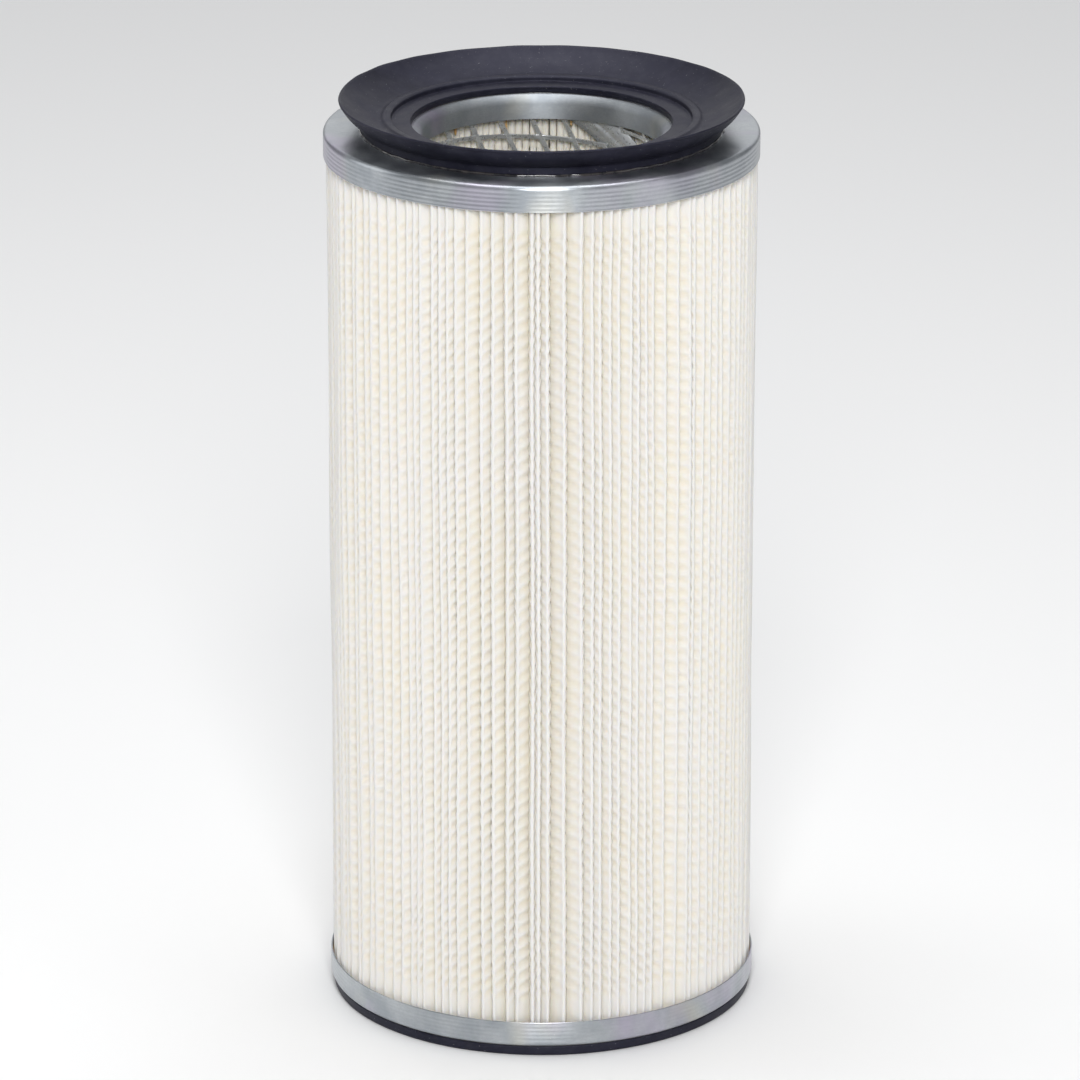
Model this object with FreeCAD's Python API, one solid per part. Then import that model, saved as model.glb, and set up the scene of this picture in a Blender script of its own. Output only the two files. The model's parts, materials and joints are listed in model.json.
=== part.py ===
import FreeCAD, Part
import math
import os

# Pleated cartridge filter element of a dust collector, standing on its bottom gasket.
# Millimetres, +Z up along the element's axis, origin at the centre of the gasket's underside.

os.makedirs("parts", exist_ok=True)

Vector = FreeCAD.Vector
ORIGIN = Vector(0, 0, 0)
AXIS = Vector(0, 0, 1)

# ---- driving dimensions -------------------------------------------------------------
cap_diameter = 160.0          # outside of both end caps
element_length = 330.0        # from the top cap's face to the bottom cap's face
bore_radius = 44.2            # clear way through both caps' inner flanges
gasket_height = 4.0
sheet = 0.6                   # zinc-plated steel of the caps

# end caps: annular pans, drawn down at the rim and at the bore
skirt_height = 9.6
rim_bend_radius = 1.6         # outside radius of the rim's bend
flange_bend_radius = 3.2      # outside radius of the bore flange's bend
flange_height = 9.0

# lip seal: heights above the top cap's face
foot_inner_radius = 47.8
foot_outer_radius = 66.4
foot_height = 2.7
ridge_inner_radius = 55.0
ridge_crest_radius = 57.3
ridge_height = 4.9
valley_radius = 60.2
valley_height = 4.2
lip_underside_height = 3.3
lip_edge_radius = 74.3
lip_edge_height = 12.0
lip_edge_thickness = 0.9
lip_hollow = 0.5              # how far the lip's faces sag below straight lines
adhesive_fillet = 0.9

# bottom gasket: flat rubber ring glued under the bottom cap
gasket_outer_radius = 79.0
gasket_inner_radius = 62.0
gasket_edge_radius = 0.8
glue_film = 0.3

# pleated filter medium: 120 folds of 0.6 mm nonwoven, held in its envelope
pleat_tip_radius = 79.1       # outermost point of the folds
pleat_root_radius = 48.0      # innermost point of the folds
seam_angle = -94.5            # degrees: the valley where the pack's two ends are glued
seam_bead_inner = 68.0
seam_bead_recess = 5.0        # from the fold tips to the glue
seam_bead_width = 1.6

# support core: tube wound from a strip of expanded metal, lock-seamed along a helix
core_radius = 45.6            # inner wall
core_sheet = 0.8
core_helix_angle = 33.7       # degrees from the horizontal
seam_band_width = 8.5         # solid metal along the lock seam
mesh_long_way = 21.6          # diamond pitch along the strip
mesh_short_way = 12.5         # diamond pitch across the strip
strand_width = 1.9
core_end_rim = 1.0            # solid metal kept at the tube's ends
core_turn = 133.0             # degrees: sets where the lock seam meets the top cap
core_levels = 24              # the tube's wall is made in this many short rings

# polyurethane potting in the caps
potting_depth = 5.5
drip_count = 22
drip_radius = 0.7
shortest_drip = 3.0
longest_drip = 17.0

# ---- derived places -------------------------------------------------------------------
cap_radius = cap_diameter / 2
bottom_face = gasket_height
top_face = bottom_face + element_length
potting_low = bottom_face + sheet + potting_depth     # upper face of the resin in the bottom cap
potting_high = top_face - sheet - potting_depth       # lower face of the resin in the top cap


def export(node, shape):
    """Write one node's solid or group of solids."""
    shape.exportStep("parts/" + node + ".step")
    print(node, "solids", len(shape.Solids), "volume", round(shape.Volume, 1), "valid", shape.isValid())


def section_point(radius, height):
    """A point of a section in the XZ half plane."""
    return Vector(radius, 0, height)


def polar(radius, angle, height=0.0):
    """A point at an angle in radians about the axis."""
    return Vector(radius * math.cos(angle), radius * math.sin(angle), height)


def line(start, end):
    return Part.LineSegment(start, end).toShape()


def arc(start, middle, end):
    return Part.Arc(start, middle, end).toShape()


def bend(centre, radius, start_angle, end_angle):
    """An arc of a section, angles in degrees from +X towards +Z."""
    points = []
    for angle in (start_angle, (start_angle + end_angle) / 2, end_angle):
        turn = math.radians(angle)
        points.append(centre + Vector(radius * math.cos(turn), 0, radius * math.sin(turn)))
    return arc(*points)


def closed_wire(edges):
    """Join consecutive edges with lines where they don't meet, and close the outline."""
    outline = []
    for index, edge in enumerate(edges):
        following = edges[(index + 1) % len(edges)]
        outline.append(edge)
        end = edge.lastVertex(True).Point
        start = following.firstVertex(True).Point
        if end.distanceToPoint(start) > 1e-6:
            outline.append(line(end, start))
    return Part.Wire(outline)


def revolve(edges):
    return Part.Face(closed_wire(edges)).revolve(ORIGIN, AXIS, 360)


def ring(inner, outer, low, high):
    """A plain flat ring."""
    base = Vector(0, 0, low)
    disc = Part.makeCylinder(outer, high - low, base)
    return disc.cut(Part.makeCylinder(inner, high - low, base))


# ---- end caps --------------------------------------------------------------------------
def end_cap():
    """A cap whose outer face is at height zero and whose skirts point down."""
    rim_centre = section_point(cap_radius - rim_bend_radius, -rim_bend_radius)
    flange_centre = section_point(bore_radius + flange_bend_radius, -flange_bend_radius)
    inner_wall = cap_radius - sheet
    return revolve([
        line(section_point(cap_radius, -skirt_height), section_point(cap_radius, -rim_bend_radius)),
        bend(rim_centre, rim_bend_radius, 0, 90),
        bend(flange_centre, flange_bend_radius, 90, 180),
        line(section_point(bore_radius, -flange_height), section_point(bore_radius + sheet, -flange_height)),
        bend(flange_centre, flange_bend_radius - sheet, 180, 90),
        bend(rim_centre, rim_bend_radius - sheet, 90, 0),
        line(section_point(inner_wall, -rim_bend_radius), section_point(inner_wall, -skirt_height)),
    ])


def in_top_cap(shape):
    """Move a shape drawn in a cap's own place to the element's upper end."""
    return shape.translated(Vector(0, 0, top_face))


def in_bottom_cap(shape):
    """Turn a shape drawn in a cap's own place over and move it to the lower end."""
    turned = shape.rotated(ORIGIN, Vector(1, 0, 0), 180)
    return turned.translated(Vector(0, 0, bottom_face))


# ---- seals -----------------------------------------------------------------------------
def lip_seal():
    """Rubber ring with a flat foot, an annular ridge and a thin lip that flares up and out."""
    def at(radius, height):
        return section_point(radius, top_face + height)

    wall_top = at(foot_outer_radius, lip_underside_height)
    edge_low = at(lip_edge_radius - 0.2, lip_edge_height - lip_edge_thickness)
    edge_nose = at(lip_edge_radius, lip_edge_height - lip_edge_thickness / 2)
    edge_high = at(lip_edge_radius - 0.6, lip_edge_height)
    valley = at(valley_radius, valley_height)
    crest = at(ridge_crest_radius, ridge_height)
    shoulder = at(ridge_inner_radius, ridge_height - 0.9)
    sag = Vector(lip_hollow, 0, -lip_hollow)
    return revolve([
        line(at(foot_inner_radius, glue_film), at(foot_outer_radius, glue_film)),
        line(at(foot_outer_radius, glue_film), wall_top),
        arc(wall_top, (wall_top + edge_low) / 2 + sag, edge_low),
        arc(edge_low, edge_nose, edge_high),
        arc(edge_high, (edge_high + valley) / 2 + sag, valley),
        line(valley, crest),
        arc(crest, at(ridge_inner_radius + 0.7, ridge_height - 0.2), shoulder),
        line(shoulder, at(ridge_inner_radius, foot_height)),
        line(at(ridge_inner_radius, foot_height), at(foot_inner_radius + 0.5, foot_height)),
        arc(
            at(foot_inner_radius + 0.5, foot_height),
            at(foot_inner_radius + 0.15, foot_height - 0.15),
            at(foot_inner_radius, foot_height - 0.5),
        ),
    ])


def lip_seal_adhesive():
    """Film under the seal's foot, squeezed out to a small fillet round the outside."""
    foot = foot_outer_radius
    inner_edge = section_point(foot_inner_radius, top_face + glue_film)
    return revolve([
        line(section_point(foot_inner_radius, top_face), section_point(foot + adhesive_fillet, top_face)),
        arc(
            section_point(foot + adhesive_fillet, top_face),
            section_point(foot + adhesive_fillet * 0.45, top_face + adhesive_fillet * 0.45),
            section_point(foot, top_face + adhesive_fillet),
        ),
        line(section_point(foot, top_face + adhesive_fillet), section_point(foot, top_face + glue_film)),
        line(section_point(foot, top_face + glue_film), inner_edge),
    ])


def bottom_gasket():
    """Flat ring with rounded edges at the floor."""
    high = gasket_height - glue_film
    edge = gasket_edge_radius
    return revolve([
        line(section_point(gasket_inner_radius + edge, 0), section_point(gasket_outer_radius - edge, 0)),
        bend(section_point(gasket_outer_radius - edge, edge), edge, -90, 0),
        line(section_point(gasket_outer_radius, high), section_point(gasket_inner_radius, high)),
        bend(section_point(gasket_inner_radius + edge, edge), edge, 180, 270),
    ])


def bottom_gasket_adhesive():
    return ring(gasket_inner_radius, gasket_outer_radius - 0.5, gasket_height - glue_film, bottom_face)


# ---- pleated medium ----------------------------------------------------------------------
def seam_valley():
    """The slot that the seam glue fills, from near the fold tips inwards, the pack's full height."""
    depth = pleat_tip_radius - seam_bead_inner + 1
    slot = Part.makeBox(depth, seam_bead_width, potting_high - potting_low)
    slot.translate(Vector(seam_bead_inner, -seam_bead_width / 2, potting_low))
    return slot.rotated(ORIGIN, AXIS, seam_angle)


def pleated_medium():
    """Envelope of the pleat pack: soft cloth, so it stays a plain ring from fold roots to fold tips."""
    return ring(pleat_root_radius, pleat_tip_radius, potting_low, potting_high).cut(seam_valley())


def medium_seam_bead():
    """Glue in the valley where the first and the last flank of the pack meet."""
    reach = pleat_tip_radius - seam_bead_recess
    return seam_valley().common(ring(pleat_root_radius, reach, potting_low, potting_high))


# ---- support core --------------------------------------------------------------------------
def diamond_cutter(around, height):
    """Prism through the core's wall at an arc length round it and a height."""
    angle = around / (core_radius + core_sheet / 2)
    outward = Vector(math.cos(angle), math.sin(angle), 0)
    tangent = Vector(-math.sin(angle), math.cos(angle), 0)
    helix = math.radians(core_helix_angle)
    long_axis = tangent * math.cos(helix) + AXIS * math.sin(helix)
    short_axis = AXIS * math.cos(helix) - tangent * math.sin(helix)
    half_long = mesh_long_way / 2
    half_short = mesh_short_way / 2
    edge_distance = half_long * half_short / math.hypot(half_long, half_short)
    inset = 1 - strand_width / 2 / edge_distance
    centre = outward * (core_radius - 1.5) + AXIS * height
    corners = [
        centre + long_axis * half_long * inset,
        centre + short_axis * half_short * inset,
        centre - long_axis * half_long * inset,
        centre - short_axis * half_short * inset,
    ]
    return Part.Face(Part.makePolygon(corners + [corners[0]])).extrude(outward * (core_sheet + 3.0))


def core_tube():
    """The core's wall as a stack of short rings in one solid, so that no face carries every hole."""
    step = (potting_high - potting_low) / core_levels
    rings = []
    for level in range(core_levels):
        low = potting_low + level * step
        rings.append(ring(core_radius, core_radius + core_sheet, low, low + step))
    return rings[0].multiFuse(rings[1:])


def support_core():
    """Tube with rows of diamonds along a helical strip, and a plain band at the lock seam."""
    helix = math.radians(core_helix_angle)
    girth = 2 * math.pi * (core_radius + core_sheet / 2)
    strip_width = girth * math.sin(helix)
    rows = int((strip_width - seam_band_width) / (mesh_short_way / 2)) - 1
    first_row = (strip_width - rows * mesh_short_way / 2) / 2
    reach = mesh_long_way / 2 * math.sin(helix) + core_end_rim
    middle = (potting_low + potting_high) / 2
    columns = int(element_length / math.sin(helix) / mesh_long_way) + 2
    cutters = []
    for row in range(rows + 1):
        across = first_row + row * mesh_short_way / 2
        for column in range(-columns, columns):
            along = (column + 0.5 * (row % 2)) * mesh_long_way
            around = along * math.cos(helix) - across * math.sin(helix)
            height = middle + along * math.sin(helix) + across * math.cos(helix)
            if potting_low + reach < height < potting_high - reach:
                cutters.append(diamond_cutter(around, height))
    return core_tube().cut(cutters).rotated(ORIGIN, AXIS, core_turn)


# ---- potting -----------------------------------------------------------------------------
def potting():
    """Resin that fills a cap up to its sheet; the core and the medium are set in its open face."""
    rim_centre = section_point(cap_radius - rim_bend_radius, -rim_bend_radius)
    flange_centre = section_point(bore_radius + flange_bend_radius, -flange_bend_radius)
    open_face = -sheet - potting_depth
    return revolve([
        line(section_point(bore_radius + sheet, open_face), section_point(cap_radius - sheet, open_face)),
        bend(rim_centre, rim_bend_radius - sheet, 0, 90),
        bend(flange_centre, flange_bend_radius - sheet, 90, 180),
    ])


def potting_drips():
    """Runs of resin down the roots of the pleats, behind the core, at the upper end."""
    radius = (core_radius + core_sheet + pleat_root_radius) / 2
    drips = []
    for index in range(drip_count):
        angle = 2 * math.pi * (index + 0.3 * math.sin(5.0 * index)) / drip_count
        share = 0.5 + 0.5 * math.sin(2.6 * index + 1.1)
        length = shortest_drip + (longest_drip - shortest_drip) * share ** 2
        foot = polar(radius, angle, potting_high - length)
        run = Part.makeCylinder(drip_radius, length, foot)
        drips.append(run.fuse(Part.makeSphere(drip_radius, foot)).removeSplitter())
    return Part.makeCompound(drips)


export("top_end_cap", in_top_cap(end_cap()))
export("bottom_end_cap", in_bottom_cap(end_cap()))
export("lip_seal", lip_seal())
export("lip_seal_adhesive", lip_seal_adhesive())
export("bottom_gasket", bottom_gasket())
export("bottom_gasket_adhesive", bottom_gasket_adhesive())
export("pleated_medium", pleated_medium())
export("medium_seam_bead", medium_seam_bead())
export("support_core", support_core())
export("top_potting", in_top_cap(potting()))
export("bottom_potting", in_bottom_cap(potting()))
export("potting_drips", potting_drips())
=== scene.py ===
import json
import math

import bpy
import numpy as np
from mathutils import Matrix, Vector


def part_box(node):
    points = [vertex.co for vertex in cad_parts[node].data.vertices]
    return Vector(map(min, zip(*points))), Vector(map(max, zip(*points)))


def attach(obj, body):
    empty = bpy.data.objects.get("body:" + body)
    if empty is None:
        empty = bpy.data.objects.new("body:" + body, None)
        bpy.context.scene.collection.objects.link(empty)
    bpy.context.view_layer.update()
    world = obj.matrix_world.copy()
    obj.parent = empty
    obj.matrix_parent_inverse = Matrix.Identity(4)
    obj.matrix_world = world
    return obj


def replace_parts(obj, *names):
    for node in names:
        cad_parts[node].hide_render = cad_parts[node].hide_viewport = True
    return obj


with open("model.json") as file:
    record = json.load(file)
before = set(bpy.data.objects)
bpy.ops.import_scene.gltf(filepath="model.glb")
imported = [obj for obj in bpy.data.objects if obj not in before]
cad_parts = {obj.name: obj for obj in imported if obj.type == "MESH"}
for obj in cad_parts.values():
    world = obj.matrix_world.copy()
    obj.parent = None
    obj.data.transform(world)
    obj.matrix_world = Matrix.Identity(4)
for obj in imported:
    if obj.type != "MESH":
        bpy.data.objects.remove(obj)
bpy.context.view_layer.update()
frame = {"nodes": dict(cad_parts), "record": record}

# The looks of a pleated dust collector cartridge. Metres, in the CAD model's frame.

scene = bpy.context.scene
RNG = np.random.default_rng(29)
MM = 0.001


# ---- camera ---------------------------------------------------------------------------
LENS = 226.8                  # mm, on a 36 mm sensor
CAMERA_PLACE = (-0.0006, -2.400, 0.9942)
CAMERA_PITCH = 18.851         # degrees below level


def make_camera():
    """A long lens, level sideways, that looks down at the cartridge."""
    data = bpy.data.cameras.new("camera")
    data.sensor_width = 36.0
    data.lens = LENS
    data.clip_end = 20.0
    camera = bpy.data.objects.new("camera", data)
    camera.location = CAMERA_PLACE
    camera.rotation_euler = (math.radians(90 - CAMERA_PITCH), 0, 0)
    scene.collection.objects.link(camera)
    scene.camera = camera


# ---- sizes from the frame ----------------------------------------------------------------
def node_z(node):
    low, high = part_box(node)
    return low.z, high.z


def node_radius(node):
    """The largest circle about the axis that stays in a node's box."""
    low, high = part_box(node)
    return min(-low.x, -low.y, high.x, high.y)


mounts = {mount["name"]: mount for mount in frame["record"]["mounts"]}
BORE = mounts["clean_air_bore"]["dims"]["r_mm"] * MM
CAP_RADIUS = node_radius("top_end_cap")
CAP_LOW, CAP_FACE = node_z("top_end_cap")
BASE_FACE = node_z("bottom_end_cap")[0]
SHEET = 0.6 * MM
MEDIUM_LOW, MEDIUM_HIGH = node_z("pleated_medium")
TIP_RADIUS = node_radius("pleated_medium")
ROOT_RADIUS = 48.0 * MM
CORE_LOW, CORE_HIGH = node_z("support_core")
CORE_OUTER = node_radius("support_core")
POTTING_LOW = node_z("top_potting")[0]
LIP_RADIUS = node_radius("lip_seal")
LIP_HIGH = node_z("lip_seal")[1]
GASKET_RADIUS = node_radius("bottom_gasket")
GASKET_HIGH = node_z("bottom_gasket")[1]


# ---- mesh helpers --------------------------------------------------------------------------
def piece(name, mesh, material):
    """Put a mesh in the scene as a piece that rides on the cartridge."""
    made = bpy.data.objects.new(name, mesh)
    scene.collection.objects.link(made)
    mesh.materials.append(material)
    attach(made, "root")
    return made


def quad_mesh(name, points, quads, smooth=True):
    mesh = bpy.data.meshes.new(name)
    mesh.vertices.add(len(points))
    mesh.vertices.foreach_set("co", np.ascontiguousarray(points, dtype=np.float32).ravel())
    mesh.loops.add(quads.size)
    mesh.loops.foreach_set("vertex_index", np.ascontiguousarray(quads, dtype=np.int32).ravel())
    mesh.polygons.add(len(quads))
    mesh.polygons.foreach_set("loop_start", np.arange(0, quads.size, 4, dtype=np.int32))
    mesh.polygons.foreach_set("use_smooth", np.full(len(quads), smooth))
    mesh.update(calc_edges=True)
    return mesh


def grid_quads(rows, columns, close_rows, close_columns):
    """Quads over a grid of points numbered row by row, facing out where columns turn left."""
    index = np.arange(rows * columns).reshape(rows, columns)
    low = index if close_rows else index[:-1]
    high = np.roll(index, -1, axis=0) if close_rows else index[1:]
    corners = [low, np.roll(low, -1, axis=1), np.roll(high, -1, axis=1), high]
    if not close_columns:
        corners = [corner[:, :-1] for corner in corners]
    return np.stack(corners, axis=-1).reshape(-1, 4)


def lathe(name, outline, segments=360, wander=None):
    """A closed outline of (radius, height) points, counter-clockwise, turned about the axis.

    wander(radius, height, angle) returns the same three with the ring's small irregularity.
    """
    outline = np.array(outline)
    angle = np.arange(segments) * (2 * math.pi / segments)
    radius = np.repeat(outline[:, 0:1], segments, axis=1)
    height = np.repeat(outline[:, 1:2], segments, axis=1)
    angle = np.repeat(angle[None, :], len(outline), axis=0)
    if wander:
        radius, height, angle = wander(radius, height, angle)
    points = np.stack([radius * np.cos(angle), radius * np.sin(angle), height], axis=-1)
    quads = grid_quads(len(outline), segments, True, True)
    return quad_mesh(name, points.reshape(-1, 3), quads)


def bend(centre, radius, start, end, steps=8):
    """Points of an arc in an outline, angles in degrees from outwards towards up."""
    turns = np.radians(np.linspace(start, end, steps))
    return [(centre[0] + radius * math.cos(t), centre[1] + radius * math.sin(t)) for t in turns]


def span(start, end, steps):
    """Points from start to end with both ends left out."""
    shares = np.linspace(0, 1, steps + 2)[1:-1]
    return [(start[0] + (end[0] - start[0]) * s, start[1] + (end[1] - start[1]) * s) for s in shares]


def curve(start, control, end, steps):
    """Points of a quadratic curve with both ends in."""
    made = []
    for s in np.linspace(0, 1, steps):
        a, b, c = (1 - s) ** 2, 2 * s * (1 - s), s * s
        made.append(tuple(a * p + b * q + c * r for p, q, r in zip(start, control, end)))
    return made


def slow_noise(angle, height, size, waves=6, turns=9):
    """Smooth noise round the axis and along it, about one unit high."""
    total = np.zeros(np.broadcast(angle, height).shape)
    for _ in range(waves):
        count = RNG.integers(1, turns + 1)
        rise = RNG.normal() / size
        total = total + np.sin(count * angle + rise * height * 2 * math.pi + RNG.uniform(0, 2 * math.pi))
    return total / math.sqrt(waves)


# ---- material helpers ------------------------------------------------------------------------
class Finish:
    """A material and short calls that add its nodes."""

    def __init__(self, name, **settings):
        self.material = bpy.data.materials.new(name)
        self.material.use_nodes = True
        self.tree = self.material.node_tree
        self.shader = self.tree.nodes["Principled BSDF"]
        self.place = self.node("ShaderNodeTexCoord").outputs["Object"]
        for socket, value in settings.items():
            self.shader.inputs[socket.replace("_", " ")].default_value = value

    def node(self, kind, **settings):
        made = self.tree.nodes.new(kind)
        for key, value in settings.items():
            setattr(made, key, value)
        return made

    def link(self, output, node, socket):
        self.tree.links.new(output, node.inputs[socket])

    def stretch(self, x, y, z):
        """Object coordinates scaled by three numbers."""
        mapping = self.node("ShaderNodeMapping")
        mapping.inputs["Scale"].default_value = (x, y, z)
        self.link(self.place, mapping, "Vector")
        return mapping.outputs["Vector"]

    def noise(self, size, detail=3.0, rough=0.5, vector=None):
        """Noise whose features are about size metres across."""
        made = self.node("ShaderNodeTexNoise")
        made.inputs["Scale"].default_value = 1 / size
        made.inputs["Detail"].default_value = detail
        made.inputs["Roughness"].default_value = rough
        self.link(vector or self.place, made, "Vector")
        return made.outputs["Fac"]

    def attribute(self, name):
        return self.node("ShaderNodeAttribute", attribute_name=name).outputs["Fac"]

    def between(self, value, low, high, to_low=0.0, to_high=1.0):
        made = self.node("ShaderNodeMapRange")
        made.inputs["From Min"].default_value = low
        made.inputs["From Max"].default_value = high
        made.inputs["To Min"].default_value = to_low
        made.inputs["To Max"].default_value = to_high
        self.link(value, made, "Value")
        return made.outputs["Result"]

    def math(self, kind, a, b=None):
        made = self.node("ShaderNodeMath", operation=kind)
        for index, value in enumerate((a, b)):
            if value is None:
                continue
            if isinstance(value, (int, float)):
                made.inputs[index].default_value = value
            else:
                self.tree.links.new(value, made.inputs[index])
        return made.outputs[0]

    def mix(self, share, low, high):
        """A colour between two colours; each is a tuple or an output."""
        made = self.node("ShaderNodeMix", data_type="RGBA")
        self.link(share, made, "Factor")
        for socket, value in (("A", low), ("B", high)):
            target = [s for s in made.inputs if s.name == socket and s.type == "RGBA"][0]
            if isinstance(value, tuple):
                target.default_value = value + (1.0,)
            else:
                self.tree.links.new(value, target)
        return [s for s in made.outputs if s.type == "RGBA"][0]

    def bump(self, height, depth, strength=1.0):
        """Height from 0 to 1 becomes relief depth metres high."""
        made = self.node("ShaderNodeBump")
        made.inputs["Strength"].default_value = strength
        made.inputs["Distance"].default_value = depth
        self.link(height, made, "Height")
        self.link(made.outputs["Normal"], self.shader, "Normal")


def zinc_finish():
    """Zinc-plated drawn sheet: satin, with fine forming lines, stains and a little dust."""
    made = Finish("zinc_plate", Metallic=1.0, Anisotropic=0.8, Anisotropic_Rotation=0.25)
    tangent = made.node("ShaderNodeTangent", direction_type="RADIAL", axis="Z")
    made.link(tangent.outputs["Tangent"], made.shader, "Tangent")
    clouds = made.noise(16 * MM, 4.0, 0.6)
    grain = made.noise(1.2 * MM, 5.0, 0.7, made.stretch(1, 1, 2.5))
    tone = made.mix(made.between(clouds, 0.35, 0.65), (0.40, 0.43, 0.46), (0.60, 0.63, 0.65))
    tone = made.mix(made.between(grain, 0.35, 0.75, 0.0, 0.4), tone, (0.33, 0.36, 0.41))
    violet = made.noise(26 * MM, 2.0, 0.5, made.stretch(1, 1, 0.5))
    tone = made.mix(made.between(violet, 0.52, 0.70, 0.0, 0.45), tone, (0.60, 0.50, 0.68))
    straw = made.noise(22 * MM, 2.0, 0.5, made.stretch(-1, 1, 0.6))
    tone = made.mix(made.between(straw, 0.58, 0.75, 0.0, 0.35), tone, (0.70, 0.66, 0.50))
    dust = made.between(made.noise(0.5 * MM, 1.0, 0.4), 0.78, 0.82)
    made.link(made.mix(dust, tone, (0.80, 0.80, 0.79)), made.shader, "Base Color")
    reach = made.node("ShaderNodeVectorMath", operation="LENGTH")
    made.link(made.stretch(1, 1, 0), reach, "Vector")
    drawn = made.between(reach.outputs["Value"], 46 * MM, 51 * MM, 0.62, 0.0)
    satin = made.between(clouds, 0.3, 0.7, 0.30, 0.40)
    made.link(made.math("MAXIMUM", drawn, satin), made.shader, "Roughness")
    lines = made.noise(0.45 * MM, 2.0, 0.6, made.stretch(0.02, 0.02, 1.0))
    relief = made.math("ADD", lines, made.math("MULTIPLY", grain, 0.5))
    made.bump(relief, 0.03 * MM, 0.6)
    return made.material


def rubber_finish():
    """Black moulded rubber with a blue cast, faintly mottled, with fine pale dust."""
    made = Finish("black_rubber", Specular_IOR_Level=0.36, Specular_Tint=(0.76, 0.76, 1.0, 1.0))
    clouds = made.noise(14 * MM, 4.0, 0.6)
    tone = made.mix(made.between(clouds, 0.35, 0.7), (0.007, 0.007, 0.014), (0.015, 0.015, 0.026))
    specks = made.between(made.noise(0.4 * MM, 1.0, 0.3), 0.775, 0.82)
    film = made.between(made.noise(5 * MM, 5.0, 0.7), 0.45, 0.75, 0.0, 0.12)
    tone = made.mix(film, tone, (0.10, 0.10, 0.12))
    made.link(made.mix(specks, tone, (0.42, 0.42, 0.43)), made.shader, "Base Color")
    made.link(made.between(clouds, 0.3, 0.7, 0.42, 0.58), made.shader, "Roughness")
    made.bump(made.noise(0.35 * MM, 3.0, 0.6), 0.02 * MM, 0.5)
    return made.material


def medium_finish():
    """Cream nonwoven, fibrous and smooth on the folds, with painted light and shade: lighter and warmer in
    the valleys, duller and cooler on the folds, darker in the corrugations' troughs.
    """
    made = Finish("nonwoven", Roughness=0.92, Specular_IOR_Level=0.25, Sheen_Weight=0.1,
                  Subsurface_Weight=0.3)
    made.shader.inputs["Subsurface Radius"].default_value = (1.0, 0.85, 0.6)
    made.shader.inputs["Subsurface Scale"].default_value = 1.2 * MM
    fold = made.attribute("fold")
    # painted light and shade: lighter, warmer colour a few millimetres or more inside the tips, standing
    # in for light bounced between the cream walls, and a duller, cooler colour on the outermost folds
    tone = made.mix(made.between(fold, 0.88, 0.985), (0.950, 0.912, 0.815), (0.845, 0.832, 0.812))
    # painted shade: darker, warmer colour in the corrugations' troughs, where shade falls between the ribs
    tone = made.mix(made.math("MULTIPLY", made.attribute("painted_trough_shade"), 0.9), tone, (0.85, 0.79, 0.66))
    mottle = made.noise(1.1 * MM, 4.0, 0.65)
    tone = made.mix(made.between(mottle, 0.35, 0.7, 0.0, 0.25), tone, (0.86, 0.83, 0.76))
    clouds = made.noise(30 * MM, 2.0, 0.5, made.stretch(1, 1, 0.5))
    tone = made.mix(made.between(clouds, 0.4, 0.7, 0.0, 0.25), tone, (0.86, 0.85, 0.86))
    made.link(tone, made.shader, "Base Color")
    fibres = made.noise(0.28 * MM, 4.0, 0.75)
    made.bump(fibres, 0.10 * MM, 0.8)
    return made.material


def core_finish():
    """Galvanised expanded metal: grey, with bright edges where the slits were cut."""
    made = Finish("expanded_metal", Metallic=0.65)
    clouds = made.noise(4 * MM, 4.0, 0.6)
    tone = made.mix(made.between(clouds, 0.3, 0.7), (0.56, 0.58, 0.59), (0.74, 0.76, 0.77))
    made.link(tone, made.shader, "Base Color")
    made.link(made.between(made.noise(1.5 * MM), 0.3, 0.7, 0.22, 0.42), made.shader, "Roughness")
    made.bump(made.noise(0.6 * MM, 3.0, 0.6), 0.04 * MM, 0.6)
    return made.material


def resin_finish():
    """Amber polyurethane with small bubbles."""
    made = Finish("amber_resin", Roughness=0.28, Subsurface_Weight=0.2)
    clouds = made.noise(6 * MM, 3.0, 0.5)
    tone = made.mix(made.between(clouds, 0.3, 0.7), (0.52, 0.30, 0.10), (0.72, 0.50, 0.24))
    made.link(tone, made.shader, "Base Color")
    made.shader.inputs["Subsurface Radius"].default_value = (0.004, 0.002, 0.001)
    made.bump(made.noise(1.0 * MM, 2.0, 0.5), 0.08 * MM, 0.5)
    return made.material


def glue_finish():
    """Glossy, dark, nearly clear adhesive."""
    made = Finish("clear_adhesive", Roughness=0.12, Coat_Weight=0.5)
    clouds = made.noise(3 * MM, 3.0, 0.5)
    tone = made.mix(made.between(clouds, 0.4, 0.6), (0.012, 0.012, 0.016), (0.05, 0.045, 0.045))
    made.link(tone, made.shader, "Base Color")
    made.bump(made.noise(1.6 * MM, 2.0, 0.5), 0.2 * MM, 0.6)
    return made.material


# ---- end caps ----------------------------------------------------------------------------------
RIM_BEND = 1.6 * MM
FLANGE_BEND = 3.2 * MM
FLANGE_HEIGHT = 9.0 * MM
FORMING_LINE = 1.55 * MM      # spacing of the drawing tool's lines round the skirt
FORMING_DEPTH = 0.035 * MM
OUT_OF_ROUND = 0.06 * MM      # the skirt's inset, with dents about half as deep
DENT = 0.03 * MM


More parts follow.
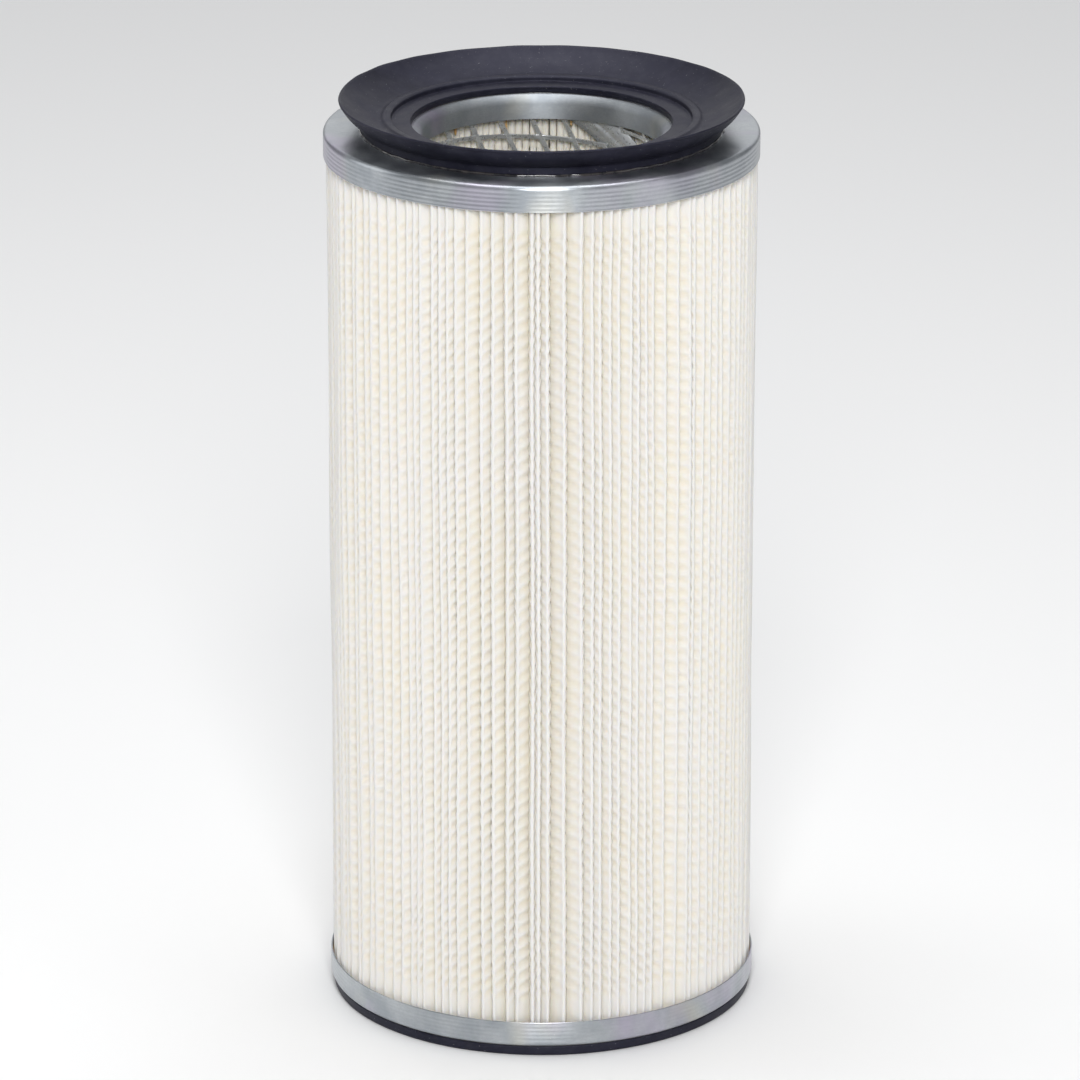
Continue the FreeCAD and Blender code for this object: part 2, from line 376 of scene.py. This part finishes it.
def cap_outline(skirt_height):
    """A cap with its outer face at height zero, from the skirt's edge round to it again."""
    rim = (CAP_RADIUS - RIM_BEND, -RIM_BEND)
    flange = (BORE + FLANGE_BEND, -FLANGE_BEND)
    half = SHEET / 2
    wall = CAP_RADIUS - half
    points = bend((wall, -skirt_height + half), half, -180, 0, 6)
    for radius, height in span((CAP_RADIUS, -skirt_height + half), (CAP_RADIUS, -RIM_BEND), 48):
        turn = (height + skirt_height) * 2 * math.pi / FORMING_LINE
        points.append((radius - (1 - math.cos(turn)) * FORMING_DEPTH, height))
    points += bend(rim, RIM_BEND, 0, 90, 10)
    points += span((rim[0], 0), (flange[0], 0), 24)
    points += bend(flange, FLANGE_BEND, 90, 180, 14)
    points += bend((BORE + half, -FLANGE_HEIGHT + half), half, 180, 360, 6)
    points += bend(flange, FLANGE_BEND - SHEET, 180, 90, 10)
    points += bend(rim, RIM_BEND - SHEET, 90, 0, 6)
    return np.array(points)


def make_caps(material):
    """Both caps, the lower one turned over. Their skirts are very slightly out of round."""
    def wander(radius, height, angle):
        outside = np.clip((radius - 70 * MM) / (10 * MM), 0, 1)
        dent = np.clip(slow_noise(angle, height, 0.5, 5, 7), -2, 2)
        return radius - outside * (OUT_OF_ROUND + DENT * dent), height, angle

    outline = cap_outline(CAP_FACE - CAP_LOW)
    top = lathe("top_cap_shell", outline + np.array([0, CAP_FACE]), 480, wander)
    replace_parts(piece("top_cap_shell", top, material), "top_end_cap")
    turned = outline[::-1] * np.array([1, -1]) + np.array([0, BASE_FACE])
    base = lathe("bottom_cap_shell", turned, 480, wander)
    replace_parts(piece("bottom_cap_shell", base, material), "bottom_end_cap")


# ---- seals -------------------------------------------------------------------------------------
FOOT_INNER = 47.8 * MM
FOOT_OUTER = 66.4 * MM
FOOT_HEIGHT = 2.7 * MM
RIDGE_INNER = 55.0 * MM
RIDGE_CREST = 57.3 * MM
RIDGE_HEIGHT = 4.9 * MM
VALLEY_RADIUS = 60.2 * MM
VALLEY_HEIGHT = 4.2 * MM
UNDERSIDE_HEIGHT = 3.3 * MM
LIP_THICKNESS = 0.9 * MM
LIP_SAG = 1.2 * MM            # how far both sides of the lip curve away from straight
SEAL_CORNER = 0.5 * MM
GLUE_FILM = 0.3 * MM
GLUE_BEAD = 0.8 * MM
GASKET_INNER = 62.0 * MM
GASKET_EDGE = 0.9 * MM


def lip_outline():
    """The seal's section, heights above the cap's face."""
    half = LIP_THICKNESS / 2
    edge = (LIP_RADIUS - half, LIP_HIGH - CAP_FACE - half)
    edge_low = (edge[0] + half * 0.45, edge[1] - half * 0.89)
    edge_high = (edge[0] - half * 0.5, edge[1] + half * 0.87)
    under = (FOOT_OUTER, UNDERSIDE_HEIGHT)
    valley = (VALLEY_RADIUS, VALLEY_HEIGHT)

    def side(start, end, steps):
        """One side of the lip, curved out and down."""
        control = ((start[0] + end[0]) / 2 + LIP_SAG, (start[1] + end[1]) / 2 - LIP_SAG)
        return curve(start, control, end, steps)

    # the foot's underside and outer edge, then the lip
    points = [(FOOT_INNER, GLUE_FILM)]
    points += span((FOOT_INNER, GLUE_FILM), (FOOT_OUTER, GLUE_FILM), 4)
    points += [(FOOT_OUTER, GLUE_FILM)]
    points += span((FOOT_OUTER, GLUE_FILM), under, 3)
    points += side(under, edge_low, 12)
    points += bend(edge, half, -60, 115, 7)[1:-1]
    points += side(edge_high, valley, 18)
    # from the valley over the ridge's crest and down its inner side
    points += curve(valley, (VALLEY_RADIUS - 1.2 * MM, VALLEY_HEIGHT - 0.25 * MM),
                    (RIDGE_CREST + 0.9 * MM, RIDGE_HEIGHT - 0.25 * MM), 6)[1:]
    points += curve((RIDGE_CREST + 0.5 * MM, RIDGE_HEIGHT), (RIDGE_CREST, RIDGE_HEIGHT + 0.02 * MM),
                    (RIDGE_CREST - 1.3 * MM, RIDGE_HEIGHT - 0.1 * MM), 6)
    points += curve((RIDGE_INNER + SEAL_CORNER, RIDGE_HEIGHT - 0.35 * MM),
                    (RIDGE_INNER, RIDGE_HEIGHT - SEAL_CORNER), (RIDGE_INNER, RIDGE_HEIGHT - 1.0 * MM), 4)
    # over the foot to its inner edge
    points += curve((RIDGE_INNER, FOOT_HEIGHT + 0.4 * MM), (RIDGE_INNER, FOOT_HEIGHT),
                    (RIDGE_INNER - SEAL_CORNER, FOOT_HEIGHT), 4)
    points += span((RIDGE_INNER - SEAL_CORNER, FOOT_HEIGHT), (FOOT_INNER + SEAL_CORNER, FOOT_HEIGHT), 4)
    points += curve((FOOT_INNER + SEAL_CORNER, FOOT_HEIGHT), (FOOT_INNER, FOOT_HEIGHT),
                    (FOOT_INNER, FOOT_HEIGHT - SEAL_CORNER), 5)
    return np.array(points) + np.array([0, CAP_FACE])


def make_lip_seal(material):
    """The lip droops and waves a little where nothing holds it."""
    def wander(radius, height, angle):
        free = np.clip((radius - FOOT_OUTER) / (LIP_RADIUS - FOOT_OUTER), 0, 1) ** 2
        wave = np.clip(slow_noise(angle, 0 * angle, 1.0, 5, 6), -2, 2)
        ripple = np.clip(slow_noise(angle, 0 * angle, 1.0, 6, 31), -2, 2)
        drop = free * (0.45 + 0.18 * wave + 0.05 * ripple) * MM
        return radius - free * (0.12 + 0.05 * ripple) * MM, height - drop, angle

    mesh = lathe("lip_seal_rubber", lip_outline(), 540, wander)
    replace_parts(piece("lip_seal_rubber", mesh, material), "lip_seal")


def make_seal_glue(material):
    """Film under the foot with an uneven squeezed-out bead round it."""
    points = [(FOOT_INNER, CAP_FACE), (FOOT_OUTER - 1.5 * MM, CAP_FACE)]
    points += curve((FOOT_OUTER + GLUE_BEAD, CAP_FACE), (FOOT_OUTER + GLUE_BEAD, CAP_FACE + GLUE_BEAD),
                    (FOOT_OUTER - 0.05 * MM, CAP_FACE + GLUE_BEAD), 7)
    points += [(FOOT_OUTER - 0.1 * MM, CAP_FACE + GLUE_FILM), (FOOT_INNER, CAP_FACE + GLUE_FILM)]

    def wander(radius, height, angle):
        outside = np.clip((radius - FOOT_OUTER) / GLUE_BEAD, 0, 1)
        lumps = np.clip(0.45 + 0.4 * slow_noise(angle, 0 * angle, 1.0, 9, 60), 0.05, 1)
        return radius - outside * (1 - lumps) * GLUE_BEAD * 0.9, height, angle

    mesh = lathe("seal_glue_bead", points, 720, wander)
    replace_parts(piece("seal_glue_bead", mesh, material), "lip_seal_adhesive")


def make_gasket(material):
    """A flat ring with rounded edges, a little rippled."""
    edge, inner, high = GASKET_EDGE, GASKET_INNER, GASKET_HIGH
    points = span((inner + edge, 0), (GASKET_RADIUS - edge, 0), 4)
    points += bend((GASKET_RADIUS - edge, edge), edge, -90, 0, 6)
    points += bend((GASKET_RADIUS - edge / 2, high - edge / 2), edge / 2, 0, 90, 4)
    points += bend((inner + edge / 2, high - edge / 2), edge / 2, 90, 180, 4)
    points += bend((inner + edge, edge), edge, 180, 270, 6)

    def wander(radius, height, angle):
        ripple = np.clip(slow_noise(angle, 0 * angle, 1.0, 6, 14), -2, 2)
        return radius - (0.15 + 0.07 * ripple) * MM, height, angle

    mesh = lathe("gasket_rubber", points, 360, wander)
    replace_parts(piece("gasket_rubber", mesh, material), "bottom_gasket")


# ---- pleated medium --------------------------------------------------------------------------------
PLEATS = 120
FOLD = 0.68 * MM              # radius of a fold at the tips
ROOT_FOLD = 1.2 * MM
CORRUGATION = 4.73 * MM       # pitch of the corrugations along the axis
WAVE = 0.60 * MM              # about half their height where they are fully formed
ROWS_PER_WAVE = 5
CHEVRON = 0.40                # how far a corrugation climbs from a fold to the crease, in corrugations
LEAN = 0.62                   # the crease's shift from the valley's middle, in half widths
# gaps between the folds after and before the seam, in mean gaps, as on the object
SEAM_SHARES = (1.45, 0.63, 0.90, 1.55, 1.55, 1.04, 0.77, 1.0, 0.82, 1.09, 0.72, 0.82)
BEFORE_SEAM_SHARES = (0.72, 0.68, 1.28, 0.77, 0.77, 0.82, 1.03, 1.30, 1.09, 1.35, 0.90)
SEAM_ANGLE = math.radians(-94.5)
LEAST_GAP, MOST_GAP = 0.50, 1.6
GAP_SPREAD = 0.30
DRIFT_WINDOW = 15             # the gaps add up evenly over this many folds
MEETING_DEPTH = 3.0 * MM      # the deepest that neighbouring walls meet, below the fold's centre
MEETING_GAP = 0.02 * MM       # from the valley's middle to a wall's own middle there
BULGE = 0.12 * MM             # how far a wall stands clear of straight above the meeting
END_FLAT = 9 * MM             # no corrugation this near to the sheet's ends
END_FADE = 5 * MM


def pleat_spacing():
    """Angles of the fold tips: uneven, with some folds pressed together and some gaps."""
    pitch = 2 * math.pi / PLEATS
    share = np.clip(1 + GAP_SPREAD * RNG.normal(size=PLEATS), 0.52, MOST_GAP)
    for _ in range(8):
        share = np.clip(share * PLEATS / share.sum(), LEAST_GAP, MOST_GAP)
        share[:len(SEAM_SHARES)] = SEAM_SHARES
        share[-len(BEFORE_SEAM_SHARES):] = BEFORE_SEAM_SHARES
    share *= PLEATS / share.sum()
    gaps = share * pitch
    tips = np.concatenate([[0], np.cumsum(gaps)[:-1]])
    tips -= (tips[0] + tips[1]) / 2 - SEAM_ANGLE
    even = np.arange(PLEATS) * pitch
    even -= (even[0] + even[1]) / 2 - SEAM_ANGLE
    drift = tips - even
    window = np.ones(DRIFT_WINDOW) / DRIFT_WINDOW
    smooth = np.convolve(np.tile(drift, 3), window, "same")[PLEATS:2 * PLEATS]
    smooth -= smooth[0]
    return tips - smooth


def pleat_columns(tips, rows_z):
    """Points, outward normals and the share of relief for each column of the sheet."""
    def drift(size, waves, turns):
        return slow_noise(tips[None, :], rows_z[:, None], size, waves, turns)

    inside = np.clip(np.minimum(rows_z - rows_z[0], rows_z[-1] - rows_z) / (40 * MM), 0, 1)[:, None]
    sideways = (0.40 * drift(0.16, 6, 8) + 0.16 * drift(0.09, 7, 40) + 0.02 * drift(0.02, 8, 59)) * MM
    tip_angle = tips[None, :] + sideways * (0.25 + 0.75 * inside) / TIP_RADIUS
    inward = np.clip(0.35 + 0.25 * drift(0.25, 6, 59) + 0.02 * drift(0.03, 7, 59), 0, 1.1) * MM
    following = np.concatenate([tip_angle[:, 1:], tip_angle[:, :1] + 2 * math.pi], axis=1)
    even = (np.arange(PLEATS) + 0.5) * 2 * math.pi / PLEATS + tips[0]
    root_angle = 0.45 * (tip_angle + following) / 2 + 0.55 * even[None, :]
    turned = (even - SEAM_ANGLE - 1e-3 + math.pi) % (2 * math.pi) - math.pi
    facing = np.where(turned <= 0, 1.0, -1.0) * np.clip(2.2 - np.abs(turned), 0, 1)
    lean = LEAN * facing + 0.15 * RNG.normal(size=PLEATS)
    half_open = (following - tip_angle) / 2 - FOLD / TIP_RADIUS
    crease_depth = np.clip(2 * half_open * TIP_RADIUS * 0.65, 0.5 * MM, MEETING_DEPTH)
    crease = (tip_angle + following) / 2 + np.clip(lean, -0.8, 0.8)[None, :] * half_open
    before_root = np.concatenate([root_angle[:, -1:] - 2 * math.pi, root_angle[:, :-1]], axis=1)
    tip_centre = TIP_RADIUS - FOLD - inward
    root_centre = ROOT_RADIUS + ROOT_FOLD + np.clip(0.3 * drift(0.3, 5, 59), 0, 1) * MM

    def place(radius, angle):
        return np.stack([radius * np.cos(angle), radius * np.sin(angle)], axis=-1)

    tip = place(tip_centre, tip_angle)
    root = place(root_centre, root_angle)
    last_root = place(root_centre, before_root)
    columns, reliefs = [], []

    def add(points, relief):
        columns.append(points)
        reliefs.append(relief)

    def around(centre, radius, facing, turn):
        direction = facing + math.radians(turn)
        return centre + radius * np.stack([np.cos(direction), np.sin(direction)], axis=-1)

    def flank(shoulder, foot, valley_angle, valley_depth, side):
        """Points from the fold's shoulder to the root; where two walls meet, their crests nest."""
        middle = place(tip_centre - valley_depth, valley_angle)
        across = np.stack([-np.sin(valley_angle), np.cos(valley_angle)], axis=-1)
        meeting = middle + side * across * MEETING_GAP
        upper = shoulder + (meeting - shoulder) * 0.35 + side * across * BULGE
        return [(upper, 1.0), (meeting, 0.55), (meeting + (foot - meeting) * 0.55, 0.3)]

    shoulder_right = around(tip, FOLD, tip_angle, -80)
    shoulder_left = around(tip, FOLD, tip_angle, 80)
    foot_right = around(last_root, ROOT_FOLD, before_root, 92)
    foot_left = around(root, ROOT_FOLD, root_angle, -92)
    last_crease = np.concatenate([crease[:, -1:] - 2 * math.pi, crease[:, :-1]], axis=1)
    last_depth = np.roll(crease_depth, 1, axis=1)
    for points, relief in reversed(flank(shoulder_right, foot_right, last_crease, last_depth, 1)):
        add(points, relief)
    add(shoulder_right, 0.40)
    for turn, relief in ((-45, 0.07), (0, 0.0), (45, 0.07)):
        add(around(tip, FOLD, tip_angle, turn), relief)
    add(shoulder_left, 0.40)
    for points, relief in flank(shoulder_left, foot_left, crease, crease_depth, -1):
        add(points, relief)
    add(foot_left, 0.4)
    add(around(root, ROOT_FOLD, root_angle, 180), 0.15)
    add(around(root, ROOT_FOLD, root_angle, 92), 0.4)
    points = np.stack(columns, axis=2)
    rows = points.shape[0]
    relief = np.tile(np.array(reliefs), PLEATS)
    return points.reshape(rows, -1, 2), relief


def corrugation_climb():
    """How far each column's corrugations are shifted up, in corrugations.

    The columns go up one wall of a pleat, over its tip, down the other wall and round the root.
    The two walls of a valley nest in each other; each valley has a shift of its own.
    """
    depth = np.array([1, 1, 0.45, 0.1, 0, 0, 0, 0.1, 0.45, 1, 1, 1, 1, 1])
    other_wall = np.array([0.42, 0.5, 0.5, 0.5, 0.5, 0, 0, 0, 0, 0, 0.08, 0.17, 0.25, 0.33])
    shift = RNG.uniform(0, 1, PLEATS)
    first_wall = 5
    mine = np.repeat(shift[:, None], len(depth), axis=1)
    mine[:, :first_wall] = np.roll(shift, 1)[:, None]
    return (mine + other_wall + CHEVRON * depth).ravel()


def make_pleats(material):
    rows = int((MEDIUM_HIGH - MEDIUM_LOW) / CORRUGATION * ROWS_PER_WAVE)
    rows_z = np.linspace(MEDIUM_LOW, MEDIUM_HIGH, rows)
    points, relief = pleat_columns(pleat_spacing(), rows_z)
    along = np.roll(points, -1, axis=1) - np.roll(points, 1, axis=1)
    normal = np.stack([along[..., 1], -along[..., 0]], axis=-1)
    normal /= np.maximum(np.linalg.norm(normal, axis=-1, keepdims=True), 1e-9)
    angle = np.arctan2(points[..., 1], points[..., 0])
    row_z = rows_z[:, None]
    phase = 0.5 * slow_noise(angle, row_z, 0.4, 6, 30)
    phase = phase + 0.4 * slow_noise(angle, row_z, 0.1, 5, 59)
    climb = corrugation_climb()
    wave = np.sin((row_z / CORRUGATION - climb[None, :]) * 2 * math.pi + phase)
    ends = np.minimum(rows_z - MEDIUM_LOW, MEDIUM_HIGH - rows_z)
    fade = np.clip((ends - END_FLAT) / END_FADE, 0, 1)[:, None]
    depth = WAVE * (0.85 + 0.25 * np.clip(slow_noise(angle, row_z, 0.08, 6, 59), -2, 2))
    points = points + normal * (wave * depth * relief[None, :] * fade)[..., None]
    height = np.repeat(row_z, points.shape[1], axis=1)
    grid = np.concatenate([points, height[..., None]], axis=-1)
    radius = np.hypot(grid[..., 0], grid[..., 1])
    limit = np.minimum(1, TIP_RADIUS / radius)
    grid[..., :2] *= limit[..., None]
    quads = grid_quads(rows, grid.shape[1], False, True)
    mesh = quad_mesh("pleated_sheet", grid.reshape(-1, 3), quads)
    # painted shade for the corrugations' troughs: one at a wave's lowest point, fading to nothing on the
    # tips and the plain ends
    painted_trough_shade = mesh.attributes.new("painted_trough_shade", "FLOAT", "POINT")
    trough_shade_share = (0.5 - 0.5 * wave) * relief[None, :] * fade
    painted_trough_shade.data.foreach_set("value", trough_shade_share.astype(np.float32).ravel())
    # share from the roots to the tips, which the material uses to paint light into the valleys and dull
    # the tips
    fold = mesh.attributes.new("fold", "FLOAT", "POINT")
    shares = np.clip((radius - ROOT_RADIUS) / (TIP_RADIUS - ROOT_RADIUS), 0, 1)
    fold.data.foreach_set("value", shares.astype(np.float32).ravel())
    made = piece("pleated_sheet", mesh, material)
    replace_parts(made, "pleated_medium")


# ---- support core -------------------------------------------------------------------------------
HELIX = math.radians(33.7)
LONG_WAY = 21.6 * MM
SHORT_WAY = 12.5 * MM
CORE_SHEET = 0.8 * MM
CORE_TURN = math.radians(133)
CORE_MIDDLE = (CORE_LOW + CORE_HIGH) / 2
CORE_END = 1.0 * MM           # strands stop this far inside the core's ends
STRAND = 1.9 * MM
STRAND_TILT = 0.28 * MM       # how far a strand's edges twist out of the tube, halfway along
STRAND_WAIST = 0.12           # how much narrower a strand is there
STRAND_HALF = CORE_SHEET / 2 * 0.92
STRAND_CORNERS = ((-1, -1), (1, -1), (1, 1), (-1, 1))
STRAND_STEPS = 5
KNOT_OVERLAP = 0.03           # a strand runs this share of its length into the knots
SHORTEST_STRAND = 0.1
SEAM_BAND = 8.5 * MM
SEAM_LAP = 0.6 * MM
# one half of the lock seam's section: share of the half width, and depth before scaling
SEAM_SECTION = ((1.0, 0.0), (0.52, 0.0), (0.42, -0.38), (0.14, -0.40), (0.06, -0.05))
SEAM_THICKNESS = 0.7
SEAM_STEPS = 420


def strip_height(along, across):
    return CORE_MIDDLE + along * math.sin(HELIX) + across * math.cos(HELIX)


def on_core(along, across, depth):
    """A point of the wound strip: along and across it, and depth outwards from its middle."""
    middle = CORE_OUTER - CORE_SHEET / 2
    around = along * math.cos(HELIX) - across * math.sin(HELIX)
    angle = around / middle + CORE_TURN
    radius = middle + depth
    return np.stack([radius * np.cos(angle), radius * np.sin(angle), strip_height(along, across)], axis=-1)


def strand_points(start, end):
    """Rings of points along a twisted strand, cut at the core's ends; None if little is left."""
    length = math.hypot(end[0] - start[0], end[1] - start[1])
    direction = ((end[0] - start[0]) / length, (end[1] - start[1]) / length)
    side = (-direction[1], direction[0])
    first_z, last_z = strip_height(*start), strip_height(*end)
    ends = (CORE_LOW + CORE_END, CORE_HIGH - CORE_END)
    cuts = sorted((end_z - first_z) / (last_z - first_z) for end_z in ends)
    begin, finish = max(-KNOT_OVERLAP, cuts[0]), min(1 + KNOT_OVERLAP, cuts[1])
    if finish - begin < SHORTEST_STRAND:
        return None
    placed = []
    for step in range(STRAND_STEPS):
        share = begin + (finish - begin) * step / (STRAND_STEPS - 1)
        twist = math.sin(math.pi * min(max(share, 0), 1))
        for across, depth in STRAND_CORNERS:
            offset = across * STRAND / 2 * (1 - STRAND_WAIST * twist)
            tilt = STRAND_TILT * twist * across * (1 if side[1] > 0 else -1)
            placed.append((start[0] + direction[0] * length * share + side[0] * offset,
                           start[1] + direction[1] * length * share + side[1] * offset,
                           depth * STRAND_HALF - tilt))
    made = on_core(*np.array(placed).T)
    made[:, 2] = np.clip(made[:, 2], CORE_LOW, CORE_HIGH)
    return made


def strand_quads(base):
    """The faces round a strand whose points start at index base, and over its two ends."""
    corners = len(STRAND_CORNERS)
    quads = []
    for step in range(STRAND_STEPS - 1):
        low = base + step * corners
        high = low + corners
        for corner in range(corners):
            after = (corner + 1) % corners
            quads.append((low + corner, high + corner, high + after, low + after))
    top = base + (STRAND_STEPS - 1) * corners
    quads.append((base, base + 1, base + 2, base + 3))
    quads.append((top + 3, top + 2, top + 1, top))
    return quads


def make_strands(material, rows, first):
    """Twisted strands between the knots of the mesh, rows of half diamonds from first upwards."""
    reach = int((CORE_HIGH - CORE_LOW) / math.sin(HELIX) / LONG_WAY) + 4
    points, quads = [], []

    def knot(column, row):
        return column * LONG_WAY / 2, first + row * SHORT_WAY / 2

    for row in range(rows + 1):
        for column in range(-2 * reach, 2 * reach):
            if (row + column) % 2 == 0:
                continue
            for next_row in (row - 1, row + 1):
                if not 0 <= next_row <= rows:
                    continue
                made = strand_points(knot(column, row), knot(column + 1, next_row))
                if made is not None:
                    quads += strand_quads(len(points) * len(made))
                    points.append(made)
    mesh = quad_mesh("core_strands", np.concatenate(points), np.array(quads), smooth=False)
    strands = piece("core_strands", mesh, material)
    bevel = strands.modifiers.new("edges", "BEVEL")
    bevel.width = 0.18 * MM
    bevel.segments = 2
    bevel.limit_method = "ANGLE"
    return strands


def make_lock_seam(material, half):
    """The folded band along the helix, half its width to each side."""
    profile = [(-half * share, depth) for share, depth in SEAM_SECTION]
    profile += [(half * share, depth) for share, depth in reversed(SEAM_SECTION)]
    across = np.array([p[0] for p in profile] + [p[0] for p in reversed(profile)])
    depth = np.array([p[1] for p in profile] + [p[1] + SEAM_THICKNESS for p in reversed(profile)])
    depth = depth * MM * 0.9 - 0.05 * MM
    heights = np.linspace(CORE_LOW + 0.05 * MM, CORE_HIGH - 0.05 * MM, SEAM_STEPS)[:, None]
    along = (heights - CORE_MIDDLE - across[None, :] * math.cos(HELIX)) / math.sin(HELIX)
    grid = on_core(along, across[None, :] + 0 * along, depth[None, :] + 0 * along)
    quads = grid_quads(len(grid), grid.shape[1], False, True)[:, ::-1]
    return piece("core_seam", quad_mesh("core_seam", grid.reshape(-1, 3), quads), material)


def make_core(material):
    """The wound strip: its mesh, and the band where its edges are locked together."""
    strip = 2 * math.pi * (CORE_OUTER - CORE_SHEET / 2) * math.sin(HELIX)
    rows = int((strip - SEAM_BAND) / (SHORT_WAY / 2))
    first = (strip - rows * SHORT_WAY / 2) / 2
    strands = make_strands(material, rows, first)
    band = make_lock_seam(material, first + SEAM_LAP)
    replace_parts(strands, "support_core")
    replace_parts(band, "support_core")


# ---- resin ---------------------------------------------------------------------------------------
DRIPS = 24
DRIP_RINGS = 14
DRIP_SIDES = 10


def make_drips(material):
    """Runs of resin down the pleats' roots from the upper potting."""
    grids, quads = [], []
    rings, sides = DRIP_RINGS, DRIP_SIDES
    radius = (CORE_OUTER + ROOT_RADIUS) / 2
    for index in range(DRIPS):
        angle = 2 * math.pi * (index + RNG.uniform(-0.4, 0.4)) / DRIPS
        length = (2 + 13 * RNG.random() ** 2) * MM
        width = (0.35 + 0.2 * RNG.random()) * MM
        base = index * rings * sides
        share = np.linspace(0, 1, rings)
        nose = np.clip((share - 0.82) / 0.18, 0, 1)
        swell = width * np.sqrt(np.clip(1 - nose ** 2, 0.0004, 1))
        swell *= 0.75 + 0.25 * share + 0.12 * np.sin(share * 9 + index)
        turn = np.arange(sides) * 2 * math.pi / sides
        out = radius + swell[:, None] * np.cos(turn)[None, :] * 0.9
        around = angle + swell[:, None] * np.sin(turn)[None, :] * 1.2 / radius
        height = POTTING_LOW + 0.2 * MM - share[:, None] * length + 0 * around
        grid = np.stack([out * np.cos(around), out * np.sin(around), height], axis=-1)
        grids.append(grid.reshape(-1, 3))
        quads.append(grid_quads(rings, sides, False, True)[:, ::-1] + base)
    mesh = quad_mesh("resin_runs", np.concatenate(grids), np.concatenate(quads))
    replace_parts(piece("resin_runs", mesh, material), "potting_drips")


def seam_finish():
    """Dried cream adhesive, a little glossier than the medium."""
    made = Finish("cream_adhesive", Roughness=0.5)
    clouds = made.noise(3 * MM, 3.0, 0.5)
    tone = made.mix(made.between(clouds, 0.35, 0.65), (0.80, 0.72, 0.56), (0.88, 0.83, 0.70))
    made.link(tone, made.shader, "Base Color")
    made.bump(made.noise(1.4 * MM, 2.0, 0.5), 0.15 * MM, 0.6)
    return made.material


def dress(node, material):
    """A CAD node that keeps its shape gets its material."""
    target = frame["nodes"][node]
    target.data.materials.clear()
    target.data.materials.append(material)


# ---- stage -----------------------------------------------------------------------------------------
FLOOR_HALF = 6.0
FLOOR_COLOUR = (0.93, 0.93, 0.93, 1)
SKY_COLOUR = (0.96, 0.975, 1.0, 1)
SKY_STRENGTH = 0.27
LIGHTS_AIM = (0, 0, 0.17)
# name, place and size in metres, and power in watts
LIGHTS = (
    ("left_box", (-1.8, 0.4, 1.0), (1.0, 1.4), 5),
    ("front_box", (0.05, -2.3, 1.9), (0.8, 1.2), 47),
    ("right_box", (1.7, -1.0, 0.9), (0.8, 1.2), 2),
    ("back_box", (0.0, 2.6, 1.2), (3.2, 1.2), 7),
    ("top_box", (0.0, 0.3, 1.9), (1.2, 1.2), 16),
)


def area_light(name, place, size, power):
    """A soft box that faces the cartridge's middle."""
    data = bpy.data.lights.new(name, "AREA")
    data.shape = "RECTANGLE"
    data.size, data.size_y = size
    data.energy = power
    lamp = bpy.data.objects.new(name, data)
    lamp.location = place
    lamp.rotation_mode = "QUATERNION"
    lamp.rotation_quaternion = (Vector(LIGHTS_AIM) - Vector(place)).to_track_quat("-Z", "Y")
    scene.collection.objects.link(lamp)


def make_stage():
    """A plain pale floor, an even sky and the soft boxes."""
    corners = [(x * FLOOR_HALF, y * FLOOR_HALF, 0) for x, y in ((-1, -1), (1, -1), (1, 1), (-1, 1))]
    mesh = bpy.data.meshes.new("floor")
    mesh.from_pydata(corners, [], [(0, 1, 2, 3)])
    floor = bpy.data.objects.new("floor", mesh)
    scene.collection.objects.link(floor)
    made = Finish("floor", Roughness=0.9, Specular_IOR_Level=0.1)
    made.shader.inputs["Base Color"].default_value = FLOOR_COLOUR
    mesh.materials.append(made.material)
    world = bpy.data.worlds.new("studio")
    world.use_nodes = True
    sky = world.node_tree.nodes["Background"]
    sky.inputs["Color"].default_value = SKY_COLOUR
    sky.inputs["Strength"].default_value = SKY_STRENGTH
    scene.world = world
    for light in LIGHTS:
        area_light(*light)
    scene.view_settings.view_transform = "Standard"
    scene.view_settings.look = "None"
    scene.view_settings.exposure = 0.0


# ---- build -------------------------------------------------------------------------------------------
make_camera()
zinc = zinc_finish()
rubber = rubber_finish()
medium = medium_finish()
steel = core_finish()
resin = resin_finish()
glue = glue_finish()
make_caps(zinc)
make_lip_seal(rubber)
make_seal_glue(glue)
make_gasket(rubber)
make_pleats(medium)
make_core(steel)
make_drips(resin)
dress("top_potting", resin)
dress("bottom_potting", resin)
dress("medium_seam_bead", seam_finish())
dress("bottom_gasket_adhesive", glue)
make_stage()
